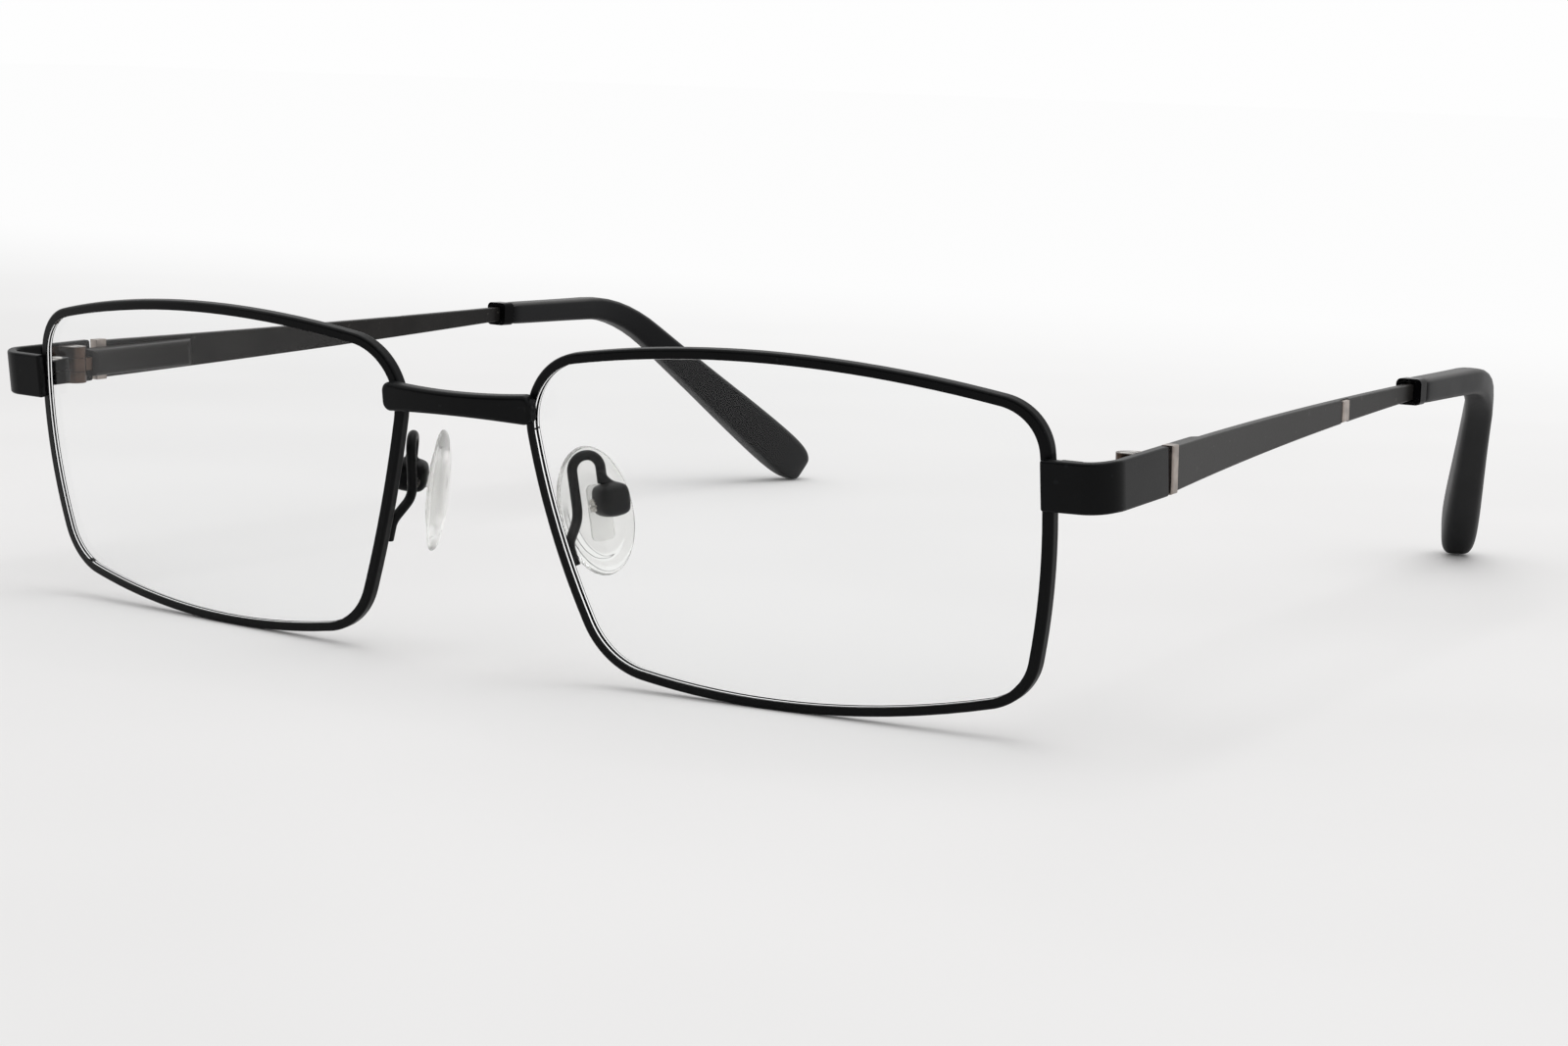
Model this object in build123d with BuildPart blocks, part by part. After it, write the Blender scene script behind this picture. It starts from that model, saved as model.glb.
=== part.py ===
from build123d import *
from math import atan2, cos, degrees, radians, sin, sqrt, tan
import os

# Rectangular eyeglasses, in millimetres.
# The pieces are drawn as the glasses are worn: X to the wearer's left, Y backwards, Z up, with the
# front upright and the origin between the lenses. The right side is the left side mirrored. At the
# end all are tilted together, so that the glasses stand on the rims and the ends of the temples.

# Front
lens_width = 53.0
lens_height = 33.2
bridge_gap = 16.0
base_curve_radius = 175.0
wrap_angle = 5.2
# Sharp corners of the lens as shares of its width and height: upper and lower, nose and temple side
upper_nose_shares = (-0.018, 0.915)
upper_temple_shares = (0.989, 0.890)
lower_temple_shares = (0.954, 0.091)
lower_nose_shares = (0.136, 0.059)
top_bow = 3.2
temple_side_bow = 1.36
bottom_bow = 2.46
nose_side_bow = 1.14
# Rounding of those corners as shares of the lens height
upper_nose_rounding_share = 0.1988
upper_temple_rounding_share = 0.1536
lower_temple_rounding_share = 0.1687
lower_nose_rounding_share = 0.2289

# Rim and lens
rim_width = 0.95
rim_depth = 1.3
rim_rounding = 0.3
groove_depth = 0.4
groove_width = 0.6
lens_thickness = 1.0
lens_bevel_width = 0.5
lens_gap = 0.05
rim_split = 0.16

# Bridge bar
bridge_lap = 1.0
bridge_thickness = 1.15
bridge_end_height = 3.0
bridge_middle_height = 2.3
bridge_rise_share = 0.2967
bridge_forward_bow = 0.7
bridge_corner_radius = 0.9
bridge_edge_rounding = 0.4

# End piece, which laps over the rim and wraps back to the hinge
end_piece_height = 4.65
end_piece_thickness = 1.0
end_piece_rise_share = 0.1988
end_piece_lap = 0.25
end_piece_corner_radius = 3.2
end_piece_corner_setback = 0.47
end_piece_bend_setback = 2.52
end_piece_bend_radius = 12.0
end_piece_rounding = 0.25

# Rim lock: two blocks closed by a screw
lock_width = 2.2
lock_depth = 2.4
lock_height = 2.6
lock_screw_radius = 0.6
lock_head_radius = 0.9
lock_head_height = 0.5
screw_slot_width = 0.25
screw_slot_depth = 0.2

# Hinge. Its own frame has X outwards, Y along the temple and Z along the pin
hinge_reach = 3.6
hinge_setback = 9.72
toe_in = 3.0
temple_slope = 5.8
knuckle_radius = 1.15
knuckle_height = 1.2
middle_knuckle_height = 1.5
knuckle_gap = 0.05
leaf_thickness = 0.3
leaf_length = 5.0
pin_radius = 0.6
pin_head_radius = 0.85
pin_head_height = 0.4
running_gap = 0.05
braze_gap = 0.02

# Temple bar
gap_start = 3.7
gap_width = 0.7
temple_thickness = 1.1
temple_front_height = 4.2
temple_rear_height = 1.75
temple_bow = 1.0
temple_length = 70.2
temple_rounding = 0.2
front_accent_length = 1.4
front_accent_height = 4.5
accent_proud = 0.08
middle_accent_y = 53.1
middle_accent_length = 1.9
middle_accent_gap = 0.35
middle_accent_depth = 0.35
middle_accent_height_share = 0.9

# Spring hinge: a housing on the temple, and a slider that is drawn out of it against a spring
housing_start = 1.75
housing_end = 17.5
housing_width = 2.6
housing_height = 2.9
housing_rounding = 0.6
housing_mouth_length = 1.45
housing_bore_radius = 1.0
housing_end_wall = 1.5
neck_width = 1.5
neck_height = 1.4
shaft_radius = 0.45
shaft_end = 13.3
stop_length = 0.8
stop_radius = 0.9
bush_length = 1.6
spring_wire_thickness = 0.26
spring_mean_radius = 0.72
spring_turns = 9

# Temple tip with its collar and the core wire inside
collar_length = 1.8
collar_width = 2.9
collar_height = 2.9
collar_pocket = 0.8
core_radius = 0.55
bend_distance = 25.3
bend_fall = 0.9
bend_out = 0.6
bend_radius = 18.0
drop_length = 39.9
drop_angle = 40.4
drop_inward_angle = 16.2
tip_thickness = 4.5
tip_height = 5.8
core_end_share = 0.82
# Sections of the tip: share of its length, of its thickness and of its height
tip_section_shares = (
    (0.0, 0.64, 0.47),
    (0.12, 0.64, 0.48),
    (0.24, 0.67, 0.50),
    (0.36, 0.70, 0.54),
    (0.48, 0.73, 0.60),
    (0.60, 0.79, 0.70),
    (0.72, 0.88, 0.84),
    (0.84, 0.98, 0.96),
    (0.93, 1.0, 1.0),
    (0.98, 0.82, 0.85),
    (1.0, 0.52, 0.55),
)
tip_rounding_share = 0.42

# Nose pads, each in its own frame with X across the pad, Y up the pad and Z towards the rim
pad_inset = 1.8
pad_setback = 7.29
pad_rise_share = -0.0542
pad_splay = 27.0
pad_flare = 9.5
pad_lean = 8.0
pad_width = 8.1
pad_length = 13.2
pad_thickness = 1.6
pad_rounding = 0.7
insert_width = 2.4
insert_length = 5.6
insert_thickness = 0.5
insert_drop = 1.0
lug_width = 1.1
lug_radius = 0.62
lug_rise = 0.8
lug_reach = 2.45
box_width = 3.6
box_length = 3.4
box_depth = 3.1
box_shift = 0.4
box_rise = 1.15
box_gap = 0.6
box_rounding = 0.8
box_edge_rounding = 0.5
box_hollow_length = 2.0
pad_screw_radius = 0.45
pad_screw_head_radius = 0.65
pad_screw_head_length = 0.45

# Pad arm, a wire from the back of the rim to the pad box
arm_wire_radius = 0.5
arm_foot_share = -0.1687
arm_lift_share = -0.1084
arm_rise_share = -0.0482
arm_rear = 2.6
arm_loop_forward = 2.6
arm_loop_inset = 1.5
arm_loop_height = 2.9
arm_end_shift = -0.3
arm_radii = (1.4, 2.0, 1.4, 1.4)

# Room for cuts that pass right through
overrun = 10.0
# Rounds in which the tilt of the standing glasses is found
tilt_rounds = 3

os.makedirs("parts", exist_ok=True)


def lens_point(shares):
    """A point of the lens outline from its shares of the lens width and height."""
    return Vector(bridge_gap / 2 + shares[0] * lens_width, (shares[1] - 0.5) * lens_height)


def bowed_line(start, end, bow):
    """An arc from start to end that bulges to its left by bow."""
    chord = end - start
    side = Vector(-chord.Y, chord.X).normalized()
    ThreePointArc(start, (start + end) / 2 + side * bow, end)


def lens_outline(growth):
    """The lens outline in the plane of the front, each arc of it grown about its own centre."""
    upper_nose = lens_point(upper_nose_shares)
    upper_temple = lens_point(upper_temple_shares)
    lower_temple = lens_point(lower_temple_shares)
    lower_nose = lens_point(lower_nose_shares)
    with BuildSketch(Plane.XZ) as outline:
        with BuildLine():
            bowed_line(upper_nose, upper_temple, top_bow)
            bowed_line(upper_temple, lower_temple, temple_side_bow)
            bowed_line(lower_temple, lower_nose, bottom_bow)
            bowed_line(lower_nose, upper_nose, nose_side_bow)
        make_face()
        for corner, rounding_share in (
            (upper_nose, upper_nose_rounding_share),
            (upper_temple, upper_temple_rounding_share),
            (lower_temple, lower_temple_rounding_share),
            (lower_nose, lower_nose_rounding_share),
        ):
            corner_vertex = outline.vertices().sort_by_distance(corner)[0]
            fillet(corner_vertex, lens_height * rounding_share)
    with BuildSketch(Plane.XZ) as grown_outline:
        with BuildLine():
            for arc in outline.sketch_local.edges():
                spokes = [arc @ share - arc.arc_center for share in (0, 0.5, 1)]
                growth_share = 1 + growth / arc.radius
                ThreePointArc(*[arc.arc_center + spoke * growth_share for spoke in spokes])
        make_face()
    return grown_outline.sketch


# The lens surface is part of a large ball behind the front, turned by the wrap angle
lens_centre_x = (bridge_gap + lens_width) / 2
ball_centre = Vector(
    lens_centre_x - base_curve_radius * sin(radians(wrap_angle)),
    base_curve_radius * cos(radians(wrap_angle)),
    0,
)


def lens_surface_y(x, z):
    """How far back the middle of the lens surface lies at a place in the front."""
    across = x - ball_centre.X
    return ball_centre.Y - sqrt(base_curve_radius**2 - across**2 - z**2)


def curved_plate(growth, thickness):
    """A plate that follows the lens surface, with the lens outline grown all round."""
    with BuildPart() as plate:
        extrude(lens_outline(growth), amount=overrun, both=True)
        with Locations(ball_centre):
            Sphere(base_curve_radius + thickness / 2, mode=Mode.INTERSECT)
            Sphere(base_curve_radius - thickness / 2, mode=Mode.SUBTRACT)
    return plate.part


# Heights of the pieces that the lens height carries up or down
end_piece_rise = lens_height * end_piece_rise_share
bridge_rise = lens_height * bridge_rise_share
pad_z = lens_height * pad_rise_share

# Rim: a ring of wire, grooved inside and split behind the end piece
rim_blank = curved_plate(rim_width / 2, rim_depth)
rim_opening = curved_plate(-rim_width / 2, rim_depth + overrun)
rim_groove = curved_plate(groove_depth - rim_width / 2, groove_width)
lens_edge_x = bridge_gap / 2 + lens_width

with BuildPart() as rim:
    add(rim_blank)
    fillet(rim.edges(), rim_rounding)
    add(rim_opening, mode=Mode.SUBTRACT)
    add(rim_groove, mode=Mode.SUBTRACT)
    with Locations((lens_edge_x, lens_surface_y(lens_edge_x, end_piece_rise), end_piece_rise)):
        Box(overrun, overrun, rim_split, mode=Mode.SUBTRACT)

# Lens: its bevel stands in the groove of the rim
lens_bevel = curved_plate(groove_depth - rim_width / 2 - lens_gap, lens_bevel_width)
with BuildPart() as lens:
    add(curved_plate(-rim_width / 2 - lens_gap, lens_thickness))
    add(lens_bevel)

# Bridge: a bar on the front of both rims, bowed forward and slimmer in the middle
bridge_half_length = bridge_gap / 2 + bridge_lap
bridge_back_y = lens_surface_y(bridge_half_length, bridge_rise) - rim_depth / 2 - braze_gap
bridge_front_y = bridge_back_y - bridge_thickness
# The plan runs past the ends, which the front view then rounds
bridge_reach = bridge_half_length + bridge_corner_radius
with BuildPart() as bridge:
    with BuildSketch(Plane.XY.offset(bridge_rise)):
        with BuildLine():
            ThreePointArc(
                (-bridge_reach, bridge_front_y),
                (0, bridge_front_y - bridge_forward_bow),
                (bridge_reach, bridge_front_y),
            )
            Line((bridge_reach, bridge_front_y), (bridge_reach, bridge_back_y))
            ThreePointArc(
                (bridge_reach, bridge_back_y),
                (0, bridge_back_y - bridge_forward_bow),
                (-bridge_reach, bridge_back_y),
            )
            Line((-bridge_reach, bridge_back_y), (-bridge_reach, bridge_front_y))
        make_face()
    extrude(amount=bridge_end_height, both=True)
    with BuildSketch(Plane.XZ) as bridge_face:
        with BuildLine():
            end_top = bridge_rise + bridge_end_height / 2
            end_bottom = bridge_rise - bridge_end_height / 2
            ThreePointArc(
                (-bridge_half_length, end_top),
                (0, bridge_rise + bridge_middle_height / 2),
                (bridge_half_length, end_top),
            )
            Line((bridge_half_length, end_top), (bridge_half_length, end_bottom))
            ThreePointArc(
                (bridge_half_length, end_bottom),
                (0, bridge_rise - bridge_middle_height / 2),
                (-bridge_half_length, end_bottom),
            )
            Line((-bridge_half_length, end_bottom), (-bridge_half_length, end_top))
        make_face()
        fillet(bridge_face.vertices(), bridge_corner_radius)
    extrude(amount=overrun, both=True, mode=Mode.INTERSECT)
    front_edges = bridge.faces().sort_by(Axis.Y)[0].edges()
    fillet(front_edges, bridge_edge_rounding)

# Hinge frame, set out from the lens edge and from the front of the end piece
end_piece_inner_x = lens_edge_x - end_piece_lap
end_piece_front_y = (
    lens_surface_y(end_piece_inner_x, end_piece_rise)
    - rim_depth / 2
    - end_piece_thickness
    - braze_gap
)
end_piece_bend_y = end_piece_front_y + end_piece_bend_setback
hinge_x = lens_edge_x + hinge_reach
hinge_y = end_piece_front_y + hinge_setback
slope = radians(temple_slope)
toe = radians(toe_in)
hinge_z = end_piece_rise - (hinge_y - end_piece_bend_y) * tan(slope)
hinge_plane = Plane(
    origin=(hinge_x, hinge_y, hinge_z),
    x_dir=(cos(toe), sin(toe), 0),
    z_dir=(-sin(toe) * sin(slope), cos(toe) * sin(slope), cos(slope)),
)
# The same frame seen from the side, and seen from the front along the temple
side_plane = Plane(
    origin=hinge_plane.origin,
    x_dir=hinge_plane.y_dir,
    z_dir=hinge_plane.x_dir,
)
along_plane = Plane(
    origin=hinge_plane.origin,
    x_dir=hinge_plane.x_dir,
    z_dir=hinge_plane.y_dir,
)
out_axis = Axis(hinge_plane.origin, hinge_plane.x_dir)
strip_inner_x = knuckle_radius + leaf_thickness + braze_gap
strip_outer_x = strip_inner_x + end_piece_thickness


def level_point(out, back):
    """A point beside the hinge, in plan: outwards from the pin and back along the temple."""
    return Vector(
        hinge_x + out * cos(toe) - back * sin(toe),
        hinge_y + out * sin(toe) + back * cos(toe),
    )


# End piece: a strip in plan, cut to its height from the side
corner_fall = hinge_setback - end_piece_corner_setback
corner_back = -(corner_fall + strip_outer_x * sin(toe)) / cos(toe)
strip_start = Vector(end_piece_inner_x, end_piece_front_y)
strip_corner = level_point(strip_outer_x, corner_back)
strip_end = level_point(strip_outer_x, gap_start)
with BuildPart() as end_piece:
    with BuildSketch(Plane.XY.offset(end_piece_rise)):
        with BuildLine() as strip_plan:
            FilletPolyline(strip_start, strip_corner, strip_end, radius=end_piece_corner_radius)
            offset(amount=end_piece_thickness, side=Side.LEFT)
        make_face()
    extrude(amount=end_piece_height + overrun, both=True)
    with BuildSketch(Plane.YZ) as strip_side:
        with BuildLine():
            fall = (overrun + hinge_y) * tan(slope)
            strip_top = end_piece_rise + end_piece_height / 2
            strip_bottom = end_piece_rise - end_piece_height / 2
            far_y = end_piece_bend_y + overrun + hinge_y
            FilletPolyline(
                (-overrun, strip_top),
                (end_piece_bend_y, strip_top),
                (far_y, strip_top - fall),
                radius=end_piece_bend_radius,
            )
            Line((far_y, strip_top - fall), (far_y, strip_bottom - fall))
            FilletPolyline(
                (far_y, strip_bottom - fall),
                (end_piece_bend_y, strip_bottom),
                (-overrun, strip_bottom),
                radius=end_piece_bend_radius,
            )
            Line((-overrun, strip_bottom), (-overrun, strip_top))
        make_face()
    extrude(amount=lens_edge_x + overrun + overrun, mode=Mode.INTERSECT)
    fillet(end_piece.edges(), end_piece_rounding)

# Rim lock: the blocks stand behind the rim, one on each side of its split
lock_front_y = lens_surface_y(lens_edge_x + rim_width / 2, end_piece_rise) + rim_depth / 2
lock_y = lock_front_y + braze_gap + lock_depth / 2
lock_x = lens_edge_x - rim_width / 2 + lock_width / 2
block_height = (lock_height - rim_split) / 2
block_offset = (rim_split + block_height) / 2
with BuildPart() as rim_lock_upper:
    with Locations((lock_x, lock_y, end_piece_rise + block_offset)):
        Box(lock_width, lock_depth, block_height)
    fillet(rim_lock_upper.edges().filter_by(Axis.Z), end_piece_rounding)
    with Locations((lock_x, lock_y, end_piece_rise + lock_height / 2)):
        CounterBoreHole(
            lock_screw_radius + running_gap, lock_head_radius + running_gap, lock_head_height
        )
with BuildPart() as rim_lock_lower:
    with Locations((lock_x, lock_y, end_piece_rise - block_offset)):
        Box(lock_width, lock_depth, block_height)
        Cylinder(lock_screw_radius + braze_gap, lock_height, mode=Mode.SUBTRACT)
    fillet(rim_lock_lower.edges().filter_by(Axis.Z), end_piece_rounding)
lock_head_z = end_piece_rise + lock_height / 2 - lock_head_height + braze_gap
with BuildPart(Plane((lock_x, lock_y, lock_head_z))) as rim_lock_screw:
    bottom_up = (Align.CENTER, Align.CENTER, Align.MIN)
    top_down = (Align.CENTER, Align.CENTER, Align.MAX)
    Cylinder(lock_head_radius, lock_head_height, align=bottom_up)
    Cylinder(lock_screw_radius, lock_height - lock_head_height, align=top_down)
    with Locations((0, 0, lock_head_height)):
        Box(overrun, screw_slot_width, screw_slot_depth, align=top_down, mode=Mode.SUBTRACT)

# Fixed half of the hinge: a leaf on the end piece with an upper and a lower knuckle
knuckle_offset = (middle_knuckle_height + knuckle_height) / 2 + knuckle_gap
leaf_height = 2 * knuckle_offset + knuckle_height
hinge_top = leaf_height / 2
with BuildPart(hinge_plane) as hinge_knuckles:
    leaf_inner_x = knuckle_radius + running_gap
    with Locations((leaf_inner_x, knuckle_radius, 0)):
        Box(
            knuckle_radius + leaf_thickness - leaf_inner_x,
            leaf_length,
            leaf_height,
            align=(Align.MIN, Align.MAX, Align.CENTER),
        )
    with Locations((0, 0, knuckle_offset), (0, 0, -knuckle_offset)):
        Cylinder(knuckle_radius, knuckle_height)
        Box(
            knuckle_radius + leaf_thickness,
            knuckle_radius + knuckle_radius,
            knuckle_height,
            align=(Align.MIN, Align.CENTER, Align.CENTER),
        )
        Cylinder(pin_radius + braze_gap, knuckle_height, mode=Mode.SUBTRACT)
    with Locations((0, 0, hinge_top)):
        Cylinder(
            pin_head_radius + braze_gap,
            pin_head_height,
            align=(Align.CENTER, Align.CENTER, Align.MAX),
            mode=Mode.SUBTRACT,
        )

with BuildPart(hinge_plane) as hinge_screw:
    with Locations((0, 0, hinge_top + braze_gap)):
        Cylinder(pin_head_radius, pin_head_height, align=top_down)
        Cylinder(pin_radius, leaf_height, align=top_down)
        Box(overrun, screw_slot_width, screw_slot_depth, align=top_down, mode=Mode.SUBTRACT)

# Slider: the middle knuckle, a square neck and the shaft, with a stop on its end
neck_end = housing_start + housing_mouth_length
with BuildPart(hinge_plane) as spring_slider:
    Cylinder(knuckle_radius, middle_knuckle_height)
    with BuildSketch(along_plane):
        Rectangle(neck_width, neck_height)
    extrude(amount=neck_end)
    Cylinder(pin_radius + running_gap, middle_knuckle_height, mode=Mode.SUBTRACT)
    with BuildSketch(along_plane.offset(neck_end)):
        Circle(shaft_radius)
    extrude(amount=shaft_end - neck_end)

with BuildPart() as slider_stop:
    with BuildSketch(along_plane.offset(shaft_end - stop_length)):
        Circle(stop_radius)
        Circle(shaft_radius + braze_gap, mode=Mode.SUBTRACT)
    extrude(amount=stop_length)

# Plan of the temple bar, which bows inwards along its length
temple_start = gap_start + gap_width
bar_start = temple_start + front_accent_length
bar_end = temple_start + temple_length
bar_middle = (bar_start + bar_end) / 2
strip_middle_x = strip_outer_x - temple_thickness / 2


def bar_plan(growth):
    """The plan of the temple bar, grown on its inner side."""
    bar_inner_x = strip_outer_x - temple_thickness - growth
    with BuildSketch(hinge_plane) as plan:
        with BuildLine():
            ThreePointArc(
                (strip_outer_x, bar_start),
                (strip_outer_x - temple_bow, bar_middle),
                (strip_outer_x, bar_end),
            )
            Line((strip_outer_x, bar_end), (bar_inner_x, bar_end))
            ThreePointArc(
                (bar_inner_x, bar_end),
                (bar_inner_x - temple_bow, bar_middle),
                (bar_inner_x, bar_start),
            )
            Line((bar_inner_x, bar_start), (strip_outer_x, bar_start))
        make_face()
    return plan.sketch


# Spring housing: a rounded box on the inner face of the temple, bored from the front
housing_outer_x = strip_outer_x - temple_thickness - braze_gap
bore_end = housing_end - housing_end_wall
housing_inner_x = housing_outer_x - housing_width
with BuildPart() as spring_housing:
    with BuildSketch(hinge_plane.offset(-housing_height / 2)):
        Polygon(
            (housing_outer_x, housing_start),
            (housing_inner_x, housing_start),
            (housing_inner_x, bore_end),
            (housing_outer_x - housing_width / 2, housing_end),
            (housing_outer_x, housing_end),
            align=None,
        )
    extrude(amount=housing_height)
    inner_face = spring_housing.faces().sort_by(out_axis)[0]
    fillet(inner_face.edges(), housing_rounding)
    extrude(bar_plan(braze_gap), amount=temple_front_height, both=True, mode=Mode.SUBTRACT)
    with BuildSketch(along_plane.offset(housing_start)):
        Rectangle(neck_width + 2 * running_gap, neck_height + 2 * running_gap)
    extrude(amount=housing_mouth_length, mode=Mode.SUBTRACT)
    with BuildSketch(along_plane.offset(neck_end)):
        Circle(housing_bore_radius)
    extrude(amount=bore_end - neck_end, mode=Mode.SUBTRACT)

bush_start = neck_end + running_gap
with BuildPart() as hinge_bush:
    with BuildSketch(along_plane.offset(bush_start)):
        Circle(housing_bore_radius - braze_gap)
        Circle(shaft_radius + running_gap, mode=Mode.SUBTRACT)
    extrude(amount=bush_length)

# Spring between the bush and the stop
spring_start = bush_start + bush_length + spring_wire_thickness / 2 + running_gap
spring_end = shaft_end - stop_length - spring_wire_thickness / 2 - running_gap
spring_length = spring_end - spring_start
with BuildPart() as hinge_spring:
    with BuildLine(along_plane.offset(spring_start)) as coil:
        Helix(
            spring_length / spring_turns,
            spring_length,
            spring_mean_radius,
            direction=hinge_plane.y_dir,
        )
    with BuildSketch(coil.line ^ 0):
        Rectangle(spring_wire_thickness, spring_wire_thickness)
    sweep(path=coil.line, is_frenet=True)


def temple_height(back):
    """The height of the temple bar at a distance behind the hinge pin."""
    share = (back - temple_start) / temple_length
    return temple_front_height + (temple_rear_height - temple_front_height) * share


def hinge_point(out, back, up):
    """A point given in the frame of the hinge."""
    return hinge_plane.from_local_coords(Vector(out, back, up))


core_start = hinge_point(strip_middle_x, bar_end, 0)
bend_corner = hinge_point(strip_middle_x + bend_out, bar_end + bend_distance, -bend_fall)
drop = radians(drop_angle)
inward = radians(drop_inward_angle)
drop_end = hinge_point(
    strip_middle_x + bend_out - drop_length * sin(inward),
    bar_end + bend_distance + drop_length * cos(inward) * cos(drop),
    -bend_fall - drop_length * cos(inward) * sin(drop),
)
core_end = bend_corner + (drop_end - bend_corner) * core_end_share

# The middle accent lies in a slot across the outer face of the bar
inlay_share = 2 * (middle_accent_y - bar_middle) / (bar_end - bar_start)
inlay_outer_x = strip_outer_x - temple_bow * (1 - inlay_share**2)
inlay_floor_x = inlay_outer_x - middle_accent_depth

# Temple bar, tapered from the side, with the core wire behind it
with BuildPart() as temple:
    extrude(bar_plan(0), amount=temple_front_height, both=True)
    with BuildSketch(side_plane):
        Polygon(
            (bar_start, temple_height(bar_start) / 2),
            (bar_end, temple_height(bar_end) / 2),
            (bar_end, -temple_height(bar_end) / 2),
            (bar_start, -temple_height(bar_start) / 2),
            align=None,
        )
    extrude(amount=overrun, both=True, mode=Mode.INTERSECT)
    outer_edges = temple.edges().filter_by(lambda e: e.length > temple_length / 2)
    fillet(outer_edges, temple_rounding)
    with BuildSketch(hinge_plane):
        with Locations((inlay_floor_x, middle_accent_y - middle_accent_gap)):
            Rectangle(
                overrun,
                middle_accent_gap + middle_accent_length + braze_gap,
                align=Align.MIN,
            )
    extrude(amount=temple_front_height, both=True, mode=Mode.SUBTRACT)
    with BuildLine() as core_path:
        FilletPolyline(core_start, bend_corner, core_end, radius=bend_radius)
    with BuildSketch(core_path.line ^ 0):
        Circle(core_radius)
    sweep(path=core_path.line)

# Bare metal accents: a cap on the front end of the temple, and an inlay across its middle
with BuildPart() as front_accent:
    with BuildSketch(along_plane.offset(temple_start)):
        with Locations((strip_outer_x + accent_proud, 0)):
            Rectangle(
                temple_thickness + accent_proud,
                front_accent_height,
                align=(Align.MAX, Align.CENTER),
            )
    extrude(amount=front_accent_length - braze_gap)
    fillet(front_accent.faces().sort_by(out_axis)[-1].edges(), temple_rounding)

inlay_height = temple_height(middle_accent_y) * middle_accent_height_share
with BuildPart() as middle_accent:
    with BuildSketch(along_plane.offset(middle_accent_y)):
        with Locations((inlay_floor_x + braze_gap, 0)):
            Rectangle(
                middle_accent_depth + accent_proud,
                inlay_height,
                align=(Align.MIN, Align.CENTER),
            )
    extrude(amount=middle_accent_length)
    fillet(middle_accent.faces().sort_by(out_axis)[-1].edges(), temple_rounding)

# Collar at the end of the bar, in front of the plastic tip
collar_plane = Plane(
    origin=core_start,
    x_dir=hinge_plane.x_dir,
    z_dir=(bend_corner - core_start).normalized(),
)
with BuildPart() as collar:
    with BuildSketch(collar_plane.offset(-collar_pocket)):
        RectangleRounded(collar_width, collar_height, housing_rounding)
    extrude(amount=collar_length)
    with BuildSketch(collar_plane.offset(-collar_pocket)):
        Rectangle(
            temple_thickness + 4 * running_gap,
            temple_height(bar_end - collar_pocket) + 4 * running_gap,
        )
    extrude(amount=collar_pocket + running_gap, mode=Mode.SUBTRACT)
    with BuildSketch(collar_plane):
        Circle(core_radius + running_gap)
    extrude(amount=collar_length, mode=Mode.SUBTRACT)

# Tip: rounded sections along the bent path, with a bore for the core wire
tip_start = core_start + collar_plane.z_dir * (collar_length - collar_pocket + braze_gap)
tip_path = FilletPolyline(tip_start, bend_corner, drop_end, radius=bend_radius)


def tip_plane(share):
    """The plane across the tip at a share of its length, with X to the side."""
    along = tip_path % share
    return Plane(origin=tip_path @ share, x_dir=along.cross(hinge_plane.z_dir), z_dir=along)


with BuildPart() as temple_tip:
    for length_share, thickness_share, height_share in tip_section_shares:
        with BuildSketch(tip_plane(length_share)):
            section_thickness = tip_thickness * thickness_share
            section_height = tip_height * height_share
            narrow_side = min(section_thickness, section_height)
            RectangleRounded(section_thickness, section_height, narrow_side * tip_rounding_share)
    loft()
    with BuildLine() as bore_path:
        FilletPolyline(tip_start, bend_corner, core_end, radius=bend_radius)
    with BuildSketch(bore_path.line ^ 0):
        Circle(core_radius + running_gap)
    sweep(path=bore_path.line, mode=Mode.SUBTRACT)

# Nose pad frame, set out from the nose side of the lens surface
pad_x = bridge_gap / 2 + pad_inset
pad_y = lens_surface_y(pad_x, pad_z) + pad_setback
splay = radians(pad_splay)
flare = radians(pad_flare)
pad_plane = Plane(
    origin=(pad_x, pad_y, pad_z),
    x_dir=(sin(splay), cos(splay), 0),
    z_dir=(cos(splay) * cos(flare), -sin(splay) * cos(flare), sin(flare)),
)
# The same frame seen along the screw, which runs across the pad
screw_origin = pad_plane.from_local_coords(Vector(box_shift, lug_rise, lug_reach))
screw_plane = Plane(
    origin=screw_origin,
    x_dir=pad_plane.y_dir,
    z_dir=pad_plane.x_dir,
)

# Insert: a plate moulded into the pad, with a lug that stands out of its back
with BuildPart() as pad_insert:
    with BuildSketch(pad_plane.offset(-insert_thickness / 2)):
        with Locations((box_shift, lug_rise - insert_drop)):
            RectangleRounded(insert_width, insert_length, insert_width / 4)
    extrude(amount=insert_thickness)
    with BuildSketch(pad_plane):
        with Locations((box_shift, lug_rise)):
            Rectangle(lug_width, 2 * lug_radius)
    extrude(amount=lug_reach)
    with BuildSketch(screw_plane.offset(-lug_width / 2)):
        Circle(lug_radius)
    extrude(amount=lug_width)
    with BuildSketch(screw_plane.offset(-lug_width / 2)):
        Circle(pad_screw_radius + running_gap)
    extrude(amount=lug_width, mode=Mode.SUBTRACT)

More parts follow.
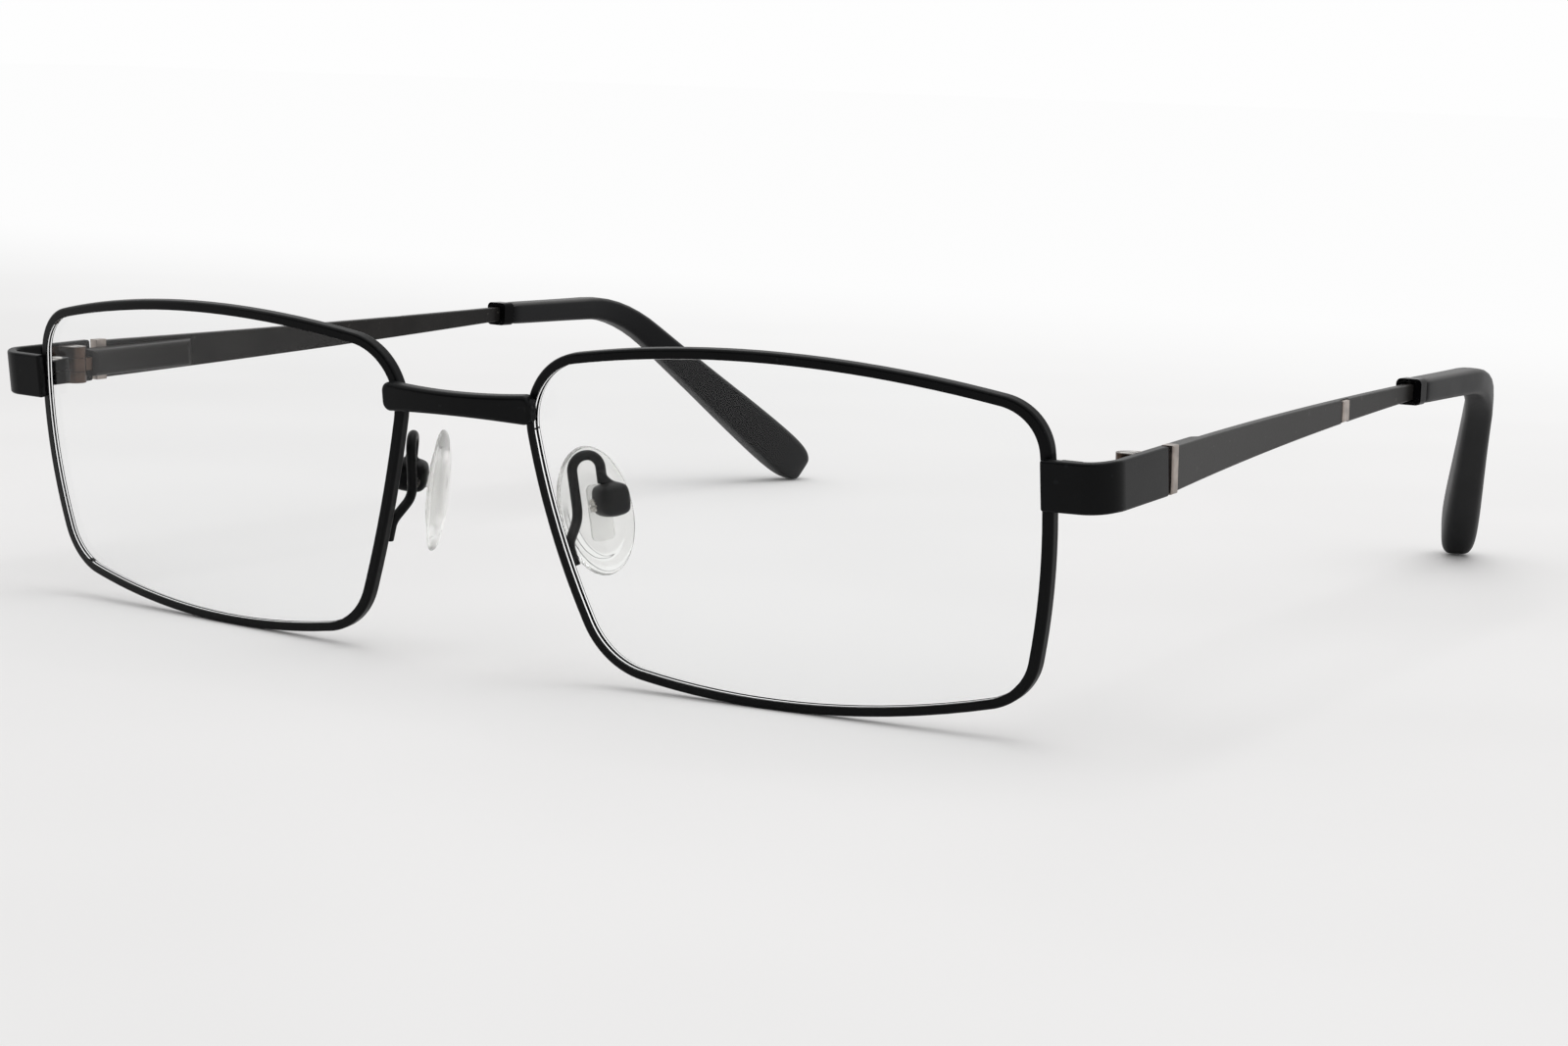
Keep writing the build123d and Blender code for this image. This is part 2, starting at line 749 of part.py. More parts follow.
with BuildPart() as nose_pad:
    with BuildSketch(pad_plane.offset(-pad_thickness / 2)):
        Ellipse(pad_width / 2, pad_length / 2, rotation=pad_lean)
    extrude(amount=pad_thickness)
    fillet(nose_pad.edges(), pad_rounding)
    with BuildSketch(pad_plane.offset(-insert_thickness / 2 - braze_gap)):
        with Locations((box_shift, lug_rise - insert_drop)):
            RectangleRounded(
                insert_width + 2 * braze_gap, insert_length + 2 * braze_gap, insert_width / 4
            )
    extrude(amount=insert_thickness + 2 * braze_gap, mode=Mode.SUBTRACT)
    with BuildSketch(pad_plane):
        with Locations((box_shift, lug_rise)):
            Rectangle(lug_width + 2 * braze_gap, 2 * lug_radius + 2 * braze_gap)
    extrude(amount=pad_thickness, mode=Mode.SUBTRACT)

# Pad box: open towards the pad, with the screw through its two walls
box_start = pad_thickness / 2 + box_gap
hollow_depth = lug_reach + lug_radius + 2 * running_gap - box_start
with BuildPart() as pad_box:
    with BuildSketch(pad_plane.offset(box_start)):
        with Locations((box_shift, box_rise)):
            RectangleRounded(box_width, box_length, box_rounding)
    extrude(amount=box_depth)
    box_end_face = pad_box.faces().sort_by(Axis(screw_origin, pad_plane.z_dir))[-1]
    fillet(box_end_face.edges(), box_edge_rounding)
    with BuildSketch(pad_plane.offset(box_start)):
        with Locations((box_shift, lug_rise)):
            Rectangle(lug_width + 2 * running_gap, box_hollow_length)
    extrude(amount=hollow_depth, mode=Mode.SUBTRACT)
    with BuildSketch(screw_plane):
        Circle(pad_screw_radius + braze_gap)
    extrude(amount=box_width, both=True, mode=Mode.SUBTRACT)
    with BuildSketch(screw_plane.offset(-box_width / 2)):
        Circle(pad_screw_head_radius + braze_gap)
    extrude(amount=pad_screw_head_length, mode=Mode.SUBTRACT)

with BuildPart() as pad_screw:
    with BuildSketch(screw_plane.offset(-box_width / 2 - accent_proud)):
        Circle(pad_screw_head_radius)
    extrude(amount=pad_screw_head_length)
    with BuildSketch(screw_plane.offset(-box_width / 2)):
        Circle(pad_screw_radius)
    extrude(amount=box_width + accent_proud)
    with BuildSketch(screw_plane.offset(-box_width / 2 - accent_proud)):
        Rectangle(screw_slot_width, overrun)
    extrude(amount=screw_slot_depth, mode=Mode.SUBTRACT)


# Pad arm: its foot lies along the back of the rim, then it rises, loops and enters the box
def rim_back_point(z):
    """Where a wire touches the back of the rim on the nose side, at a height."""
    upper = lens_point(upper_nose_shares)
    lower = lens_point(lower_nose_shares)
    share = (upper.Y - z) / (upper.Y - lower.Y)
    x = upper.X + (lower.X - upper.X) * share - nose_side_bow * 4 * share * (1 - share)
    return Vector(x, lens_surface_y(x, z) + rim_depth / 2 + arm_wire_radius + braze_gap, z)


arm_end_rise = box_rise + box_length / 2 + braze_gap
box_middle = box_start + box_depth / 2
arm_end = pad_plane.from_local_coords(Vector(arm_end_shift, arm_end_rise, box_middle))
arm_loop_rear = arm_end + pad_plane.y_dir * arm_loop_height
arm_loop_front = arm_loop_rear - Vector(arm_loop_inset, arm_loop_forward, 0)
arm_foot = rim_back_point(lens_height * arm_foot_share)
arm_lift = rim_back_point(lens_height * arm_lift_share)
arm_rise = rim_back_point(lens_height * arm_rise_share) + Vector(0, arm_rear, 0)
with BuildPart() as pad_arm:
    with BuildLine() as arm_path:
        FilletPolyline(
            arm_foot, arm_lift, arm_rise, arm_loop_front, arm_loop_rear, arm_end, radius=arm_radii
        )
    with BuildSketch(arm_path.line ^ 0):
        Circle(arm_wire_radius)
    sweep(path=arm_path.line)

left_pieces = {
    "rim": rim.part,
    "lens": lens.part,
    "end_piece": end_piece.part,
    "rim_lock_upper": rim_lock_upper.part,
    "rim_lock_lower": rim_lock_lower.part,
    "rim_lock_screw": rim_lock_screw.part,
    "hinge_knuckles": hinge_knuckles.part,
    "hinge_screw": hinge_screw.part,
    "spring_slider": spring_slider.part,
    "slider_stop": slider_stop.part,
    "spring_housing": spring_housing.part,
    "hinge_bush": hinge_bush.part,
    "hinge_spring": hinge_spring.part,
    "temple": temple.part,
    "front_accent": front_accent.part,
    "middle_accent": middle_accent.part,
    "collar": collar.part,
    "temple_tip": temple_tip.part,
    "pad_arm": pad_arm.part,
    "pad_box": pad_box.part,
    "pad_screw": pad_screw.part,
    "pad_insert": pad_insert.part,
    "nose_pad": nose_pad.part,
}

# The glasses stand on the rims and the tips, so all tilt until both touch the floor
tilt = 0.0
for _ in range(tilt_rounds):
    turned_rim = Rot(X=tilt) * rim.part
    turned_tip = Rot(X=tilt) * temple_tip.part
    tip_fall = turned_rim.bounding_box().min.Z - turned_tip.bounding_box().min.Z
    tilt += degrees(atan2(tip_fall, drop_end.Y))
turned_boxes = [(Rot(X=tilt) * piece).bounding_box() for piece in left_pieces.values()]
turned_boxes.append((Rot(X=tilt) * bridge.part).bounding_box())
front_y = min(box.min.Y for box in turned_boxes)
rear_y = max(box.max.Y for box in turned_boxes)
floor_z = min(box.min.Z for box in turned_boxes)
standing = Pos(0, -(front_y + rear_y) / 2, -floor_z) * Rot(X=tilt)


def keep(piece, name):
    """Stands a finished piece on the floor with the rest, labels it and writes it."""
    placed = standing * piece
    placed.label = name
    export_step(placed, f"parts/{name}.step")


keep(bridge.part, "bridge")
for name, piece in left_pieces.items():
    keep(piece, f"left_{name}")
    keep(mirror(piece, about=Plane.YZ), f"right_{name}")
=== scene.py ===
import math

import bpy
from bpy.props import FloatProperty, FloatVectorProperty, PointerProperty
from mathutils import Matrix, Vector


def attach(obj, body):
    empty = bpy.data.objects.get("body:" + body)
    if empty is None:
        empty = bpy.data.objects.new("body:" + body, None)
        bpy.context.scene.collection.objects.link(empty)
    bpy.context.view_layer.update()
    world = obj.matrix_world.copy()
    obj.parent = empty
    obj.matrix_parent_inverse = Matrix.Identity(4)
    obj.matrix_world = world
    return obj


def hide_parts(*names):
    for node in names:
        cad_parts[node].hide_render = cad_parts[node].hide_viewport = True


bl_info = {
    "name": "Rectangular eyeglasses",
    "version": (1, 0, 0),
    "blender": (4, 5, 0),
    "location": "View3D > Sidebar > Eyeglasses",
    "description": "Finishes, plastic pieces and a plain stage for rectangular metal eyeglasses",
    "category": "Object",
}

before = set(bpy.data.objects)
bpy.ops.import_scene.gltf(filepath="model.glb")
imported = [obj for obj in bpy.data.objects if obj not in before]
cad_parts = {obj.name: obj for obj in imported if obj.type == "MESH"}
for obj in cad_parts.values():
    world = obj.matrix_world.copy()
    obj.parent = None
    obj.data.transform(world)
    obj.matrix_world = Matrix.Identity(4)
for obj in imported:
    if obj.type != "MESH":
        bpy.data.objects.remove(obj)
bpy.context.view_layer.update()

# Places of the left side, in metres, in the frame of the metalwork
TIP_START = Vector((0.062604, 0.018441, 0.025907))
TIP_BEND = Vector((0.06192, 0.042732, 0.025581))
TIP_END = Vector((0.049415, 0.071839, 0.001324))
PAD_CENTRE = Vector((0.0098, -0.06197, 0.015946))
PAD_ACROSS = Vector((0.454, 0.8842, 0.1096)).normalized()
PAD_UP = Vector((-0.1471, -0.047, 0.988)).normalized()

# Sections of a tip: share of its length, of its thickness and of its height
TIP_SECTIONS = (
    (0.0, 0.64, 0.47),
    (0.02, 0.65, 0.485),
    (0.12, 0.65, 0.49),
    (0.24, 0.67, 0.50),
    (0.36, 0.70, 0.54),
    (0.48, 0.73, 0.60),
    (0.60, 0.79, 0.70),
    (0.72, 0.88, 0.84),
    (0.84, 0.98, 0.96),
    (0.93, 1.0, 1.0),
    (0.975, 0.88, 0.90),
    (0.995, 0.62, 0.66),
)
# Rings of a nose pad from the skin side to the rim side: share of its outline and of its thickness
PAD_RINGS = (
    (0.30, -0.50),
    (0.62, -0.46),
    (0.84, -0.34),
    (0.96, -0.14),
    (1.0, 0.06),
    (0.985, 0.20),
    (0.93, 0.27),
    (0.80, 0.26),
    (0.73, 0.30),
    (0.69, 0.45),
    (0.62, 0.50),
    (0.35, 0.50),
)
# Middle of a pad box in the frame of its pad, and the steps of its neck: sideways, up and narrower
BOX_MIDDLE = Vector((0.00033, 0.00115, 0.0031))
NECK_STEPS = (
    (-0.00015, 0.0001, 0.92),
    (-0.0003, 0.0003, 0.82),
    (-0.00025, 0.0005, 0.86),
    (-0.00005, 0.0006, 0.98),
)
# Corner of the tip's mouth as a share of its height, and inset of its far end as one of its width
TIP_CORNER_SHARE = 0.24
TIP_INSET_SHARE = 0.2

# Places on the stage, in metres, and turns, in degrees
CAMERA_PLACE = (0.18577, -0.30999, 0.06086)
CAMERA_TURN = (81.445, -1.646, 32.141)
FOCAL_LENGTH = 71.95
LAMP_PLACE = (0.1, 0.15, 0.9)
LAMP_WATTS = 2.7
LAMP_SIZE = 0.8
CARD_PLACE = (-0.3, -1.3, 0.25)
CARD_SIZE = (3.0, 1.3, 1.0)
# Where the floor turns into the white background, counted backwards from the eyeglasses
FADE_START = 0.08
FADE_END = 0.42
SKY_STRENGTH = 0.75
SKY_EXTRA_WHERE_SEEN = 0.24


# Sizes and colours that a user would change


def length(name, description, default):
    """A length property in metres."""
    return FloatProperty(
        name=name, description=description, default=default, unit="LENGTH", subtype="DISTANCE"
    )


def colour(name, description, default):
    """A colour property."""
    return FloatVectorProperty(
        name=name, description=description, default=default, min=0.0, max=1.0, subtype="COLOR"
    )


class EyeglassSizes(bpy.types.PropertyGroup):
    """Sizes of the plastic pieces and of the stage"""

    tip_thickness: length("Tip thickness", "Thickness of a temple tip at its widest", 0.0045)
    tip_height: length("Tip height", "Height of a temple tip near its lower end", 0.0058)
    tip_bend_radius: length("Bend radius", "Radius of the bend behind the ear", 0.018)
    pad_width: length("Pad width", "Width of a nose pad", 0.0081)
    pad_length: length("Pad length", "Length of a nose pad", 0.0132)
    pad_thickness: length("Pad thickness", "Thickness of a nose pad", 0.0016)
    pad_lean: FloatProperty(
        name="Pad lean",
        description="How far a nose pad leans in its own plane",
        default=math.radians(8.0),
        unit="ROTATION",
        subtype="ANGLE",
    )
    box_width: length("Pad box width", "Width of the box on the end of a pad arm", 0.0033)
    box_length: length("Pad box length", "Length of the box on the end of a pad arm", 0.0034)
    box_depth: length("Pad box depth", "Depth of the box on the end of a pad arm", 0.0037)
    box_rounding: length("Pad box rounding", "Rounding of the edges of the pad box", 0.001)
    floor_width: length("Floor width", "Width of the floor under the eyeglasses", 8.0)


class EyeglassColours(bpy.types.PropertyGroup):
    """Colours of the finishes"""

    front_paint: colour("Front paint", "Satin black of the front", (0.0021, 0.0023, 0.0026))
    temple_paint: colour("Temple paint", "Satin dark grey of the temples", (0.0145, 0.0135, 0.0128))
    accent_metal: colour("Accent metal", "Bare metal of the accents", (0.36, 0.315, 0.285))
    hinge_metal: colour("Hinge metal", "Bronze colour of the hinges", (0.085, 0.056, 0.042))
    steel: colour("Steel", "Bright steel of screws and springs", (0.52, 0.50, 0.47))
    tip_plastic: colour("Tip plastic", "Black plastic of the tips", (0.0045, 0.0047, 0.0053))
    pad_plastic: colour("Pad plastic", "Clear soft plastic of the pads", (0.97, 0.97, 0.955))
    lens: colour("Lens", "Clear plastic of the lenses", (0.985, 0.99, 0.99))
    floor: colour("Floor", "Pale floor", (0.86, 0.853, 0.85))


# Shader maths


class Wire:
    """A shader socket that can stand in a formula, so that a mask is written as a sum."""

    def __init__(self, tree, socket):
        self.tree = tree
        self.socket = socket

    def node(self, kind, settings=(), inputs=(), output=0):
        """Adds a node with its settings, then its values or links, and gives one output."""
        made = self.tree.nodes.new(kind)
        for name, value in dict(settings).items():
            setattr(made, name, value)
        for name, value in dict(inputs).items():
            if isinstance(value, Wire):
                self.tree.links.new(value.socket, made.inputs[name])
            else:
                made.inputs[name].default_value = value
        return Wire(self.tree, made.outputs[output]) if made.outputs else None

    def maths(self, operation, first, second):
        return self.node("ShaderNodeMath", {"operation": operation}, {0: first, 1: second})

    def __add__(self, other):
        return self.maths("ADD", self, other)

    def __radd__(self, other):
        return self.maths("ADD", other, self)

    def __sub__(self, other):
        return self.maths("SUBTRACT", self, other)

    def __rsub__(self, other):
        return self.maths("SUBTRACT", other, self)

    def __mul__(self, other):
        return self.maths("MULTIPLY", self, other)

    def __rmul__(self, other):
        return self.maths("MULTIPLY", other, self)

    def rise(self, low, high):
        """0 below low, 1 above high, and a smooth rise between them."""
        return self.node(
            "ShaderNodeMapRange",
            {"interpolation_type": "SMOOTHSTEP"},
            {"Value": self, "From Min": low, "From Max": high},
        )

    def tint(self, first, second):
        """The colour first where this is 0, and second where it is 1."""
        return self.node("ShaderNodeMix", {"data_type": "RGBA"}, {0: self, 6: first, 7: second}, 2)

    def axis(self, name):
        """One coordinate of a place."""
        return self.node("ShaderNodeSeparateXYZ", {}, {0: self}, "XYZ".index(name))

    def noise(self, grain, detail=2.0, stretch=(1.0, 1.0, 1.0)):
        """Noise with grains of that size in metres, longer where stretch is small."""
        place = self.node("ShaderNodeMapping", {}, {"Vector": self, "Scale": stretch})
        inputs = {"Vector": place, "Scale": 1.0 / grain, "Detail": detail}
        return self.node("ShaderNodeTexNoise", {}, inputs)

    def bump(self, depth, strength):
        """A normal that follows this height, with that depth in metres."""
        inputs = {"Height": self, "Distance": depth, "Strength": strength}
        return self.node("ShaderNodeBump", {}, inputs)

    def principled(self, inputs):
        """Ends the material with a principled surface."""
        shader = self.node("ShaderNodeBsdfPrincipled", {}, inputs)
        self.node("ShaderNodeOutputMaterial", {}, {"Surface": shader})


def new_material(name):
    """An empty material, and the wire of its object coordinates."""
    material = bpy.data.materials.new(name)
    material.use_nodes = True
    tree = material.node_tree
    tree.nodes.clear()
    coordinates = tree.nodes.new("ShaderNodeTexCoord")
    return material, Wire(tree, coordinates.outputs["Object"])


def rgba(value, brightness=1.0):
    """A colour with full alpha, made brighter or darker."""
    return (*[channel * brightness for channel in value], 1.0)


# Finishes


def painted_metal(name, paint, rough, sheen, gloss):
    """Satin paint: a fine orange peel, a slight cloudiness and a few faint specks."""
    material, place = new_material(name)
    peel = place.noise(0.00022, detail=3.0)
    cloud = place.noise(0.005)
    specks = place.noise(0.0006, detail=0.0).rise(0.80, 0.84)
    paint_tint = cloud.rise(0.3, 0.7).tint(rgba(paint, 0.8), rgba(paint, 1.25))
    place.principled(
        {
            "Base Color": specks.tint(paint_tint, rgba(paint, 3.0)),
            "Metallic": sheen,
            "Roughness": rough + (cloud - 0.5) * 0.1 + (peel - 0.5) * 0.08,
            "Specular IOR Level": gloss,
            "Normal": peel.bump(0.00002, 0.25),
        }
    )
    return material


def brushed_metal(name, metal, rough, stretch):
    """Bare metal with fine brush lines along one axis and slightly darker patches."""
    material, place = new_material(name)
    lines = place.noise(0.00012, detail=3.0, stretch=stretch)
    patches = place.noise(0.0012)
    place.principled(
        {
            "Base Color": patches.rise(0.3, 0.7).tint(rgba(metal, 0.75), rgba(metal, 1.1)),
            "Metallic": 1.0,
            "Roughness": rough + (lines - 0.5) * 0.25 + (patches - 0.5) * 0.1,
            "Normal": lines.bump(0.00001, 0.3),
        }
    )
    return material


def moulded_plastic(name, plastic, rough, top_light, gloss):
    """Moulded plastic: a fine satin grain, rubbed smoother in patches, with painted light that
    greys the faces pointing up, as if lit from above.
    """
    material, place = new_material(name)
    grain = place.noise(0.00015, detail=2.0)
    rubbed = place.noise(0.004)
    upward = place.node("ShaderNodeNewGeometry", {}, {}, 1).axis("Z")
    # Painted highlight: faces that point up are greyed towards a light grey, unevenly in patches,
    # standing in for light from above
    painted_top_light = upward.rise(0.2, 1.0) * top_light * (0.6 + rubbed * 0.8)
    place.principled(
        {
            # The light grey here is the colour of the painted top light
            "Base Color": painted_top_light.tint(rgba(plastic), (0.13, 0.127, 0.125, 1.0)),
            "Roughness": rough + (rubbed - 0.5) * 0.12,
            "Specular IOR Level": gloss,
            "Normal": grain.bump(0.000015, 0.3),
        }
    )
    return material


def clear_material(name, clear, ior, rough, ripple, clearness=1.0):
    """A clear solid that lets most light through to what it shades."""
    material, place = new_material(name)
    waves = place.noise(0.0016)
    inputs = {
        "Base Color": rgba(clear),
        "Roughness": rough,
        "IOR": ior,
        "Transmission Weight": clearness,
        "Normal": waves.bump(0.00005, ripple),
    }
    glass = place.node("ShaderNodeBsdfPrincipled", {}, inputs)
    open_air = place.node("ShaderNodeBsdfTransparent", {}, {"Color": rgba(clear, 0.97)})
    shadow_ray = place.node("ShaderNodeLightPath", {}, {}, 1)
    diffuse_ray = place.node("ShaderNodeLightPath", {}, {}, 2)
    passing = place.maths("MAXIMUM", shadow_ray, diffuse_ray)
    shader = place.node("ShaderNodeMixShader", {}, {0: passing, 1: glass, 2: open_air})
    place.node("ShaderNodeOutputMaterial", {}, {"Surface": shader})
    return material


# Modelling helpers


def start_piece():
    """Leaves edit mode and selects nothing, ready for a new primitive."""
    if bpy.context.mode != "OBJECT":
        bpy.ops.object.mode_set(mode="OBJECT")
    bpy.ops.object.select_all(action="DESELECT")


def close_ends():
    """Fills open ends, merges doubles and turns all faces outwards, in edit mode."""
    bpy.ops.mesh.select_all(action="DESELECT")
    bpy.ops.mesh.select_non_manifold()
    if any(vertex.select for vertex in bpy.context.edit_object.data.vertices):
        bpy.ops.mesh.edge_face_add()
    bpy.ops.mesh.select_all(action="SELECT")
    bpy.ops.mesh.remove_doubles(threshold=0.000001)
    bpy.ops.mesh.normals_make_consistent(inside=False)


def smooth_out(piece, levels):
    """Rounds a piece with a subdivision surface and applies it."""
    if bpy.context.mode != "OBJECT":
        bpy.ops.object.mode_set(mode="OBJECT")
    rounding = piece.modifiers.new("Rounding", "SUBSURF")
    rounding.levels = levels
    rounding.render_levels = levels
    bpy.ops.object.modifier_apply(modifier=rounding.name)
    bpy.ops.object.shade_smooth()


def place_pair(piece, name, body, nodes, material):
    """Names the left piece, mirrors it to the right, and lets both ride and stand for CAD nodes."""
    mirrored = piece.copy()
    mirrored.data = piece.data.copy()
    bpy.context.scene.collection.objects.link(mirrored)
    mirrored.data.transform(Matrix.Scale(-1.0, 4, (1.0, 0.0, 0.0)))
    mirrored.data.flip_normals()
    for side, half in zip(("left", "right"), (piece, mirrored)):
        half.name = f"{side}_{name}"
        half.data.name = half.name
        half.data.materials.clear()
        half.data.materials.append(material)
        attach(half, body.format(side))
        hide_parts(*[f"{side}_{node}" for node in nodes])
    return piece, mirrored


def bent_path(start, corner, end, radius):
    """The two straight runs with an arc between them: its length and a function of distance."""
    first = (corner - start).normalized()
    second = (end - corner).normalized()
    turn = first.angle(second)
    trim = radius * math.tan(turn / 2)
    run_in = (corner - start).length - trim
    run_out = (end - corner).length - trim
    arc = radius * turn
    across = (second - first * first.dot(second)).normalized()
    arc_start = start + first * run_in
    centre = arc_start + across * radius

    def at(distance):
        if distance <= run_in:
            return start + first * distance, first
        if distance <= run_in + arc:
            angle = (distance - run_in) / radius
            spoke = -across * math.cos(angle) + first * math.sin(angle)
            return centre + spoke * radius, first * math.cos(angle) + across * math.sin(angle)
        past = distance - run_in - arc
        return corner + second * (trim + past), second

    return run_in + arc + run_out, at


# The operators, one for each group of pieces


class EYEGLASSES_OT_metalwork(bpy.types.Operator):
    """Gives the rims, bridge, temples, hinges and screws their finishes"""

    bl_idname = "eyeglasses.metalwork"
    bl_label = "Finish the metalwork"

    def execute(self, context):
        colours = context.scene.eyeglass_colours
        front = painted_metal("front_satin_black", colours.front_paint, 0.36, 0.0, 0.1)
        temple = painted_metal("temple_satin_grey", colours.temple_paint, 0.38, 0.15, 0.1)
        accent = brushed_metal("accent_bare_metal", colours.accent_metal, 0.36, (1.0, 1.0, 0.05))
        hinge = brushed_metal("hinge_bronze", colours.hinge_metal, 0.34, (1.0, 0.1, 1.0))
        steel = brushed_metal("screw_steel", colours.steel, 0.28, (1.0, 1.0, 1.0))
        collar = moulded_plastic("collar_glossy_black", (0.002, 0.002, 0.0023), 0.2, 0.0, 0.03)
        finishes = {
            "rim": front,
            "end_piece": front,
            "rim_lock_upper": front,
            "rim_lock_lower": front,
            "rim_lock_screw": steel,
            "pad_arm": front,
            "pad_screw": steel,
            "temple": temple,
            "spring_housing": temple,
            "front_accent": accent,
            "middle_accent": accent,
            "hinge_knuckles": hinge,
            "spring_slider": hinge,
            "hinge_bush": hinge,
            "hinge_screw": steel,
            "slider_stop": steel,
            "hinge_spring": steel,
            "collar": collar,
        }
        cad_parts["bridge"].data.materials.clear()
        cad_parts["bridge"].data.materials.append(front)
        for side in ("left", "right"):
            for part, finish in finishes.items():
                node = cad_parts[f"{side}_{part}"]
                node.data.materials.clear()
                node.data.materials.append(finish)
        return {"FINISHED"}


class EYEGLASSES_OT_lenses(bpy.types.Operator):
    """Gives the lenses and the inserts of the nose pads their clear plastic"""

    bl_idname = "eyeglasses.lenses"
    bl_label = "Finish the lenses"

    def execute(self, context):
        colours = context.scene.eyeglass_colours
        lens = clear_material("lens_clear", colours.lens, 1.2, 0.0, 0.0)
        insert = clear_material("insert_clear", (0.96, 0.96, 0.95), 1.5, 0.1, 0.6, 0.8)
        for side in ("left", "right"):
            for part, finish in (("lens", lens), ("pad_insert", insert)):
                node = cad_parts[f"{side}_{part}"]
                node.data.materials.clear()
                node.data.materials.append(finish)
        return {"FINISHED"}


class EYEGLASSES_OT_temple_tips(bpy.types.Operator):
    """Models the black plastic tips, straight at first and then bent along the ear drop"""

    bl_idname = "eyeglasses.temple_tips"
    bl_label = "Model the temple tips"

    def execute(self, context):
        sizes = context.scene.eyeglass_sizes
        total, at = bent_path(TIP_START, TIP_BEND, TIP_END, sizes.tip_bend_radius)
        start_piece()
        bpy.ops.mesh.primitive_plane_add(size=1.0, rotation=(math.radians(90.0), 0.0, 0.0))
        tip = context.object
        bpy.ops.object.transform_apply(location=True, rotation=True, scale=True)
        bpy.ops.object.mode_set(mode="EDIT")
        share, thickness, height = TIP_SECTIONS[0]
        width_now, height_now = sizes.tip_thickness * thickness, sizes.tip_height * height
        bpy.ops.transform.resize(
            value=(width_now, 1.0, height_now), center_override=(0.0, 0.0, 0.0)
        )
        corner = height_now * TIP_CORNER_SHARE
        bpy.ops.mesh.bevel(offset=corner, affect="VERTICES", segments=3)
        for next_share, thickness, height in TIP_SECTIONS[1:]:
            step = (next_share - share) * total
            bpy.ops.mesh.extrude_region_move(TRANSFORM_OT_translate={"value": (0.0, step, 0.0)})
            share = next_share
            wider = sizes.tip_thickness * thickness / width_now
            taller = sizes.tip_height * height / height_now
            bpy.ops.transform.resize(
                value=(wider, 1.0, taller), center_override=(0.0, share * total, 0.0)
            )
            width_now, height_now = width_now * wider, height_now * taller
        bpy.ops.mesh.inset(thickness=width_now * TIP_INSET_SHARE)
        bpy.ops.transform.translate(value=(0.0, (1.0 - share) * total, 0.0))
        close_ends()
        smooth_out(tip, 2)
        for vertex in tip.data.vertices:
            middle, along = at(vertex.co.y)
            across = along.cross(Vector((0.0, 0.0, 1.0))).normalized()
            vertex.co = middle + across * vertex.co.x + across.cross(along) * vertex.co.z
        colours = context.scene.eyeglass_colours
        # The 0.55 is the strength of the painted light from above that greys the tops of the tips
        plastic = moulded_plastic("tip_satin_black", colours.tip_plastic, 0.42, 0.55, 0.12)
        place_pair(tip, "tip", "{}_temple", ["temple_tip"], plastic)
        return {"FINISHED"}


class EYEGLASSES_OT_nose_pads(bpy.types.Operator):
    """Models the clear nose pads, with a crowned skin side and a ledge round the back"""

    bl_idname = "eyeglasses.nose_pads"
    bl_label = "Model the nose pads"

    def execute(self, context):
        sizes = context.scene.eyeglass_sizes
        start_piece()
        share, level = PAD_RINGS[0]
        height = level * sizes.pad_thickness
        bpy.ops.mesh.primitive_circle_add(
            vertices=32, radius=0.5, fill_type="NGON", location=(0.0, 0.0, height)
        )
        pad = context.object
        bpy.ops.object.transform_apply(location=True, rotation=True, scale=True)
        bpy.ops.object.mode_set(mode="EDIT")
        bpy.ops.transform.resize(
            value=(sizes.pad_width * share, sizes.pad_length * share, 1.0),
            center_override=(0.0, 0.0, height),
        )
        for next_share, level in PAD_RINGS[1:]:
            rise = level * sizes.pad_thickness - height
            bpy.ops.mesh.extrude_region_move(TRANSFORM_OT_translate={"value": (0.0, 0.0, rise)})
            height += rise
            wider = next_share / share
            share = next_share
            bpy.ops.transform.resize(value=(wider, wider, 1.0), center_override=(0.0, 0.0, height))
        close_ends()
        smooth_out(pad, 2)
        pad.data.transform(pad_frame() @ Matrix.Rotation(sizes.pad_lean, 4, "Z"))
        colours = context.scene.eyeglass_colours
        plastic = clear_material("pad_clear", colours.pad_plastic, 1.42, 0.04, 0.35, 0.88)
        pads = place_pair(pad, "pad", "{}_pad", ["nose_pad"], plastic)
        return {"FINISHED"}


def pad_frame():
    """The frame of the left pad: X across it, Y up it and Z towards the rim."""
    back = PAD_ACROSS.cross(PAD_UP).normalized()
    turned = Matrix((PAD_ACROSS, back.cross(PAD_ACROSS), back)).transposed()
    return Matrix.Translation(PAD_CENTRE) @ turned.to_4x4()


